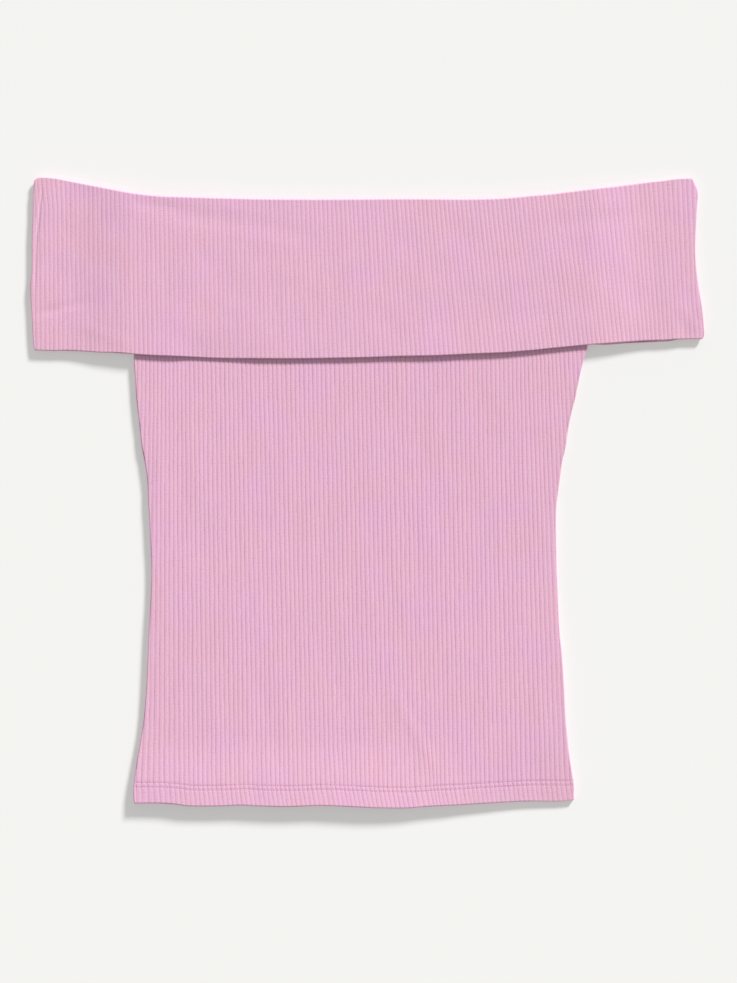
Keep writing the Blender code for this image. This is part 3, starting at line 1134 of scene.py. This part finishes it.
def knit_for(face):
    """The knit's material for the outer face of the body, of the band, or for the backs."""
    known = bpy.data.materials.get(face)
    if known:
        return known
    colours = bpy.context.scene.rib_top_colours
    top = colours.inside if face == "rib_knit_back" else colours.yarn
    # How strongly each face's grooves are painted with shade
    groove_shade_strength = {"rib_knit_body": 0.58, "rib_knit_band": 0.46, "rib_knit_back": 0.6}[face]
    return cotton_rib_knit(face, top, colours.groove, groove_shade_strength)


def settle(item, node):
    """Attaches a cloth wall to its body and hides the solid that it stands in for."""
    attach(item, BODY)
    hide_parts(node)


class RIBTOP_OT_body_front(bpy.types.Operator):
    """Add the body's front panel with its ribs and its turned hem"""

    bl_idname = "rib_top.body_front"
    bl_label = "Body Front"

    def execute(self, context):
        form = Garment(sizes_in_mm())
        wall = Wall("body_front_knit")
        ribbed = hem_rows() + torso_rows(TORSO_ROWS) + climb_rows(CLIMB_ROWS)
        outer, inner = [], []
        for row in ribbed:
            s, x, y = form.ribbed_section(row, form.body_side, form.body_rib_x, BODY_COLUMNS)
            z = form.front_outer(x, y) + form.body_relief(s, x, y)
            # Where the needle holes get painted shade
            holes = np.clip(form.needle_holes(s, y), 0, 1)
            outer.append(wall.add_section(s, x, y, z, holes))
        for row in hidden_rows():
            s, x, y = form.plain_section(row, form.body_side, form.body_rib_x)
            outer.append(wall.add_section(s, x, y, form.front_outer(x, y)))
        rows = ribbed + hidden_rows()
        for row, inset in zip(rows, insets(len(rows))):
            s, x, y = form.plain_section(
                row, form.body_side, form.body_rib_x, RIM_WALL, inset
            )
            inner.append(wall.add_section(s, x, y, form.front_inner(x, y)))
        wall.close(outer, inner)
        item = wall.finish(knit_for("rib_knit_body"))
        settle(item, "body_front")
        return {"FINISHED"}


class RIBTOP_OT_body_back(bpy.types.Operator):
    """Add the body's back panel, which lies on the floor and on the band's back"""

    bl_idname = "rib_top.body_back"
    bl_label = "Body Back"

    def execute(self, context):
        form = Garment(sizes_in_mm())
        wall = Wall("body_back_knit")
        rows = hem_rows()[::3] + torso_rows(BACK_ROWS) + climb_rows(CLIMB_ROWS) + hidden_rows()
        outer, inner = [], []
        for row, inset in zip(rows, insets(len(rows))):
            s, x, y = form.plain_section(row, form.body_side, form.body_rib_x)
            inner.append(wall.add_section(s, x, y, form.back_top(x, y)))
            level, offset = row
            under = (level, offset + inset)
            s, x, y = form.ribbed_section(under, form.body_side, form.body_rib_x, BACK_COLUMNS)
            shape, _ = form.rib_shape(s)
            edge = 1.0 - round_over(form.side_distance(x, y, form.body_side), BACK_ROLL)
            lift = form.body_rib_rise * (1.0 - shape) + BACK_RIM_LIFT * edge
            outer.append(wall.add_section(s, x, y, form.back_bottom(x, y) + lift))
        wall.close(outer, inner)
        item = wall.finish(knit_for("rib_knit_back"))
        settle(item, "body_back")
        return {"FINISHED"}


class RIBTOP_OT_band_front(bpy.types.Operator):
    """Add the front of the fold-over band"""

    bl_idname = "rib_top.band_front"
    bl_label = "Band Front"

    def execute(self, context):
        form = Garment(sizes_in_mm())
        wall = Wall("band_front_knit")
        rows = band_rows(BAND_ROWS)
        outer, inner = [], []
        for row, inset in zip(rows, insets(len(rows))):
            s, x, y = form.ribbed_section(row, form.band_side, form.band_rib_x, BAND_COLUMNS)
            z = form.band_outer(x, y) + form.band_relief(s, x, y)
            outer.append(wall.add_section(s, x, y, z))
            s, x, y = form.plain_section(
                row, form.band_side, form.band_rib_x, RIM_WALL, inset
            )
            inner.append(wall.add_section(s, x, y, form.band_inner(x, y)))
        wall.close(outer, inner)
        item = wall.finish(knit_for("rib_knit_band"))
        settle(item, "band_front")
        return {"FINISHED"}


class RIBTOP_OT_band_back(bpy.types.Operator):
    """Add the back of the fold-over band, which lies on the floor"""

    bl_idname = "rib_top.band_back"
    bl_label = "Band Back"

    def execute(self, context):
        form = Garment(sizes_in_mm())
        wall = Wall("band_back_knit")
        rows = band_rows(BACK_ROWS)
        outer, inner = [], []
        for row, inset in zip(rows, insets(len(rows))):
            share = 2.0 - row[0]
            s, x, y = form.plain_section(row, form.band_side, form.band_rib_x)
            y = y + read(BACK_SHORTFALL, 1, x) * share
            inner.append(wall.add_section(s, x, y, form.back_band_outer(x, y)))
            under = (row[0], row[1] + inset)
            s, x, y = form.ribbed_section(under, form.band_side, form.band_rib_x, BACK_COLUMNS)
            y = y + read(BACK_SHORTFALL, 1, x) * share
            shape, _ = form.rib_shape(s)
            edge = 1.0 - form.band_rim(x, y, form.back_band_bottom(x))
            lift = form.band_rib_rise * (1.0 - shape) + BACK_RIM_LIFT * edge
            outer.append(wall.add_section(s, x, y, lift))
        wall.close(outer, inner)
        item = wall.finish(knit_for("rib_knit_back"))
        settle(item, "band_back")
        return {"FINISHED"}


class RIBTOP_OT_hem_stitching(bpy.types.Operator):
    """Add the two lines of stitches that hold the hem turn"""

    bl_idname = "rib_top.hem_stitching"
    bl_label = "Hem Stitching"

    def execute(self, context):
        form = Garment(sizes_in_mm())
        work = bmesh.new()
        radius = form.thread_width / 2
        shift_x, shift_y = OUTLINE_SHIFT
        for line, phase in form.stitch_lines():
            left = form.edge_point((0.0, line), 1, form.body_side) + 1.0
            right = form.edge_point((0.0, line), 2, form.body_side) - 1.0
            ends = np.array((left, right))
            left, right = form.rib_place(ends, form.row_y(0.0, line, ends), form.body_rib_x)
            first = math.ceil(left / form.stitch_pitch)
            last = math.floor(right / form.stitch_pitch)
            for number in range(first, last):
                s = (number + 0.5 - phase) * form.stitch_pitch
                half = form.stitch_pitch * 0.42
                ring_points = []
                for share in (-1.0, -0.8, -0.3, 0.3, 0.8, 1.0):
                    place = s + half * share
                    y = float(form.row_y(0.0, line, place))
                    x = float(form.body_rib_x(place, y))
                    top = form.front_outer(x, y) + form.body_relief(place, x, y)
                    full = math.sqrt(max(1.0 - abs(share) ** 3, 0.04))
                    z = float(top) + radius * (0.7 * full - 0.5)
                    ring_points.append((x + shift_x, y + shift_y, z, radius * full))
                add_thread(work, ring_points)
        bmesh.ops.recalc_face_normals(work, faces=work.faces)
        data = bpy.data.meshes.new("hem_stitches")
        work.to_mesh(data)
        work.free()
        data.shade_smooth()
        data.materials.append(spun_polyester_thread())
        item = bpy.data.objects.new("hem_stitches", data)
        context.scene.collection.objects.link(item)
        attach(item, BODY)
        return {"FINISHED"}


class RIBTOP_OT_stage(bpy.types.Operator):
    """Set up the floor, the lights and the camera"""

    bl_idname = "rib_top.stage"
    bl_label = "Studio Stage"

    def execute(self, context):
        scene = context.scene
        studio = scene.rib_top_studio
        divisions = studio.floor_pieces
        bpy.ops.mesh.primitive_grid_add(
            x_subdivisions=divisions, y_subdivisions=divisions, size=FLOOR_SIZE
        )
        floor = context.object
        floor.name = "studio_floor"
        floor.location.z = -FLOOR_DROP
        floor.data.materials.append(matt_paper())

        key_data = bpy.data.lights.new("low_key", "SUN")
        key_data.energy = studio.key_strength
        key_data.angle = studio.key_softness
        key_data.color = (1.0, 0.995, 0.98)
        key = bpy.data.objects.new("low_key", key_data)
        flat = math.cos(studio.key_elevation)
        towards = Vector(
            (
                flat * math.cos(studio.key_azimuth),
                flat * math.sin(studio.key_azimuth),
                math.sin(studio.key_elevation),
            )
        )
        key.rotation_mode = "QUATERNION"
        key.rotation_quaternion = towards.to_track_quat("Z", "Y")
        key.location = towards * LIGHT_DISTANCE
        scene.collection.objects.link(key)

        world = bpy.data.worlds.new("soft_box")
        scene.world = world
        world.use_nodes = True
        sky = world.node_tree.nodes["Background"]
        sky.inputs["Color"].default_value = (1.0, 0.998, 0.992, 1.0)
        sky.inputs["Strength"].default_value = studio.fill_strength

        camera_data = bpy.data.cameras.new("overhead")
        camera_data.lens = studio.lens
        camera_data.sensor_width = SENSOR_MM
        camera_data.sensor_fit = "AUTO"
        camera = bpy.data.objects.new("overhead", camera_data)
        seen = max(PHOTO_WIDTH, PHOTO_HEIGHT) * PIXEL_MM * MM
        distance = seen * studio.lens / camera_data.sensor_width
        cloth_height = 0.005
        camera.location = (*CAMERA_ASIDE, distance + cloth_height)
        camera_data.clip_end = 50.0
        scene.collection.objects.link(camera)
        scene.camera = camera
        scene.view_settings.view_transform = "Standard"
        return {"FINISHED"}


class RIBTOP_PT_panel(bpy.types.Panel):
    """Lists the steps that build the top"""

    bl_label = "Rib Top"
    bl_idname = "RIBTOP_PT_panel"
    bl_space_type = "VIEW_3D"
    bl_region_type = "UI"
    bl_category = "Rib Top"

    def draw(self, context):
        for step in STEPS:
            self.layout.operator(step.bl_idname)
        for group in ("rib_top_sizes", "rib_top_colours", "rib_top_studio"):
            settings = getattr(context.scene, group)
            box = self.layout.box()
            for name in type(settings).__annotations__:
                box.prop(settings, name)


STEPS = (
    RIBTOP_OT_stage,
    RIBTOP_OT_band_back,
    RIBTOP_OT_body_back,
    RIBTOP_OT_body_front,
    RIBTOP_OT_hem_stitching,
    RIBTOP_OT_band_front,
)
GROUPS = {
    "rib_top_sizes": KnitSizes,
    "rib_top_colours": KnitColours,
    "rib_top_studio": StudioSettings,
}


def register():
    for item in (*GROUPS.values(), *STEPS, RIBTOP_PT_panel):
        bpy.utils.register_class(item)
    for name, group in GROUPS.items():
        setattr(bpy.types.Scene, name, PointerProperty(type=group))


def unregister():
    for name in GROUPS:
        delattr(bpy.types.Scene, name)
    for item in reversed((*GROUPS.values(), *STEPS, RIBTOP_PT_panel)):
        bpy.utils.unregister_class(item)


def main():
    register()
    bpy.ops.rib_top.stage()
    bpy.ops.rib_top.band_back()
    bpy.ops.rib_top.body_back()
    bpy.ops.rib_top.body_front()
    bpy.ops.rib_top.hem_stitching()
    bpy.ops.rib_top.band_front()


if __name__ == "__main__":
    main()
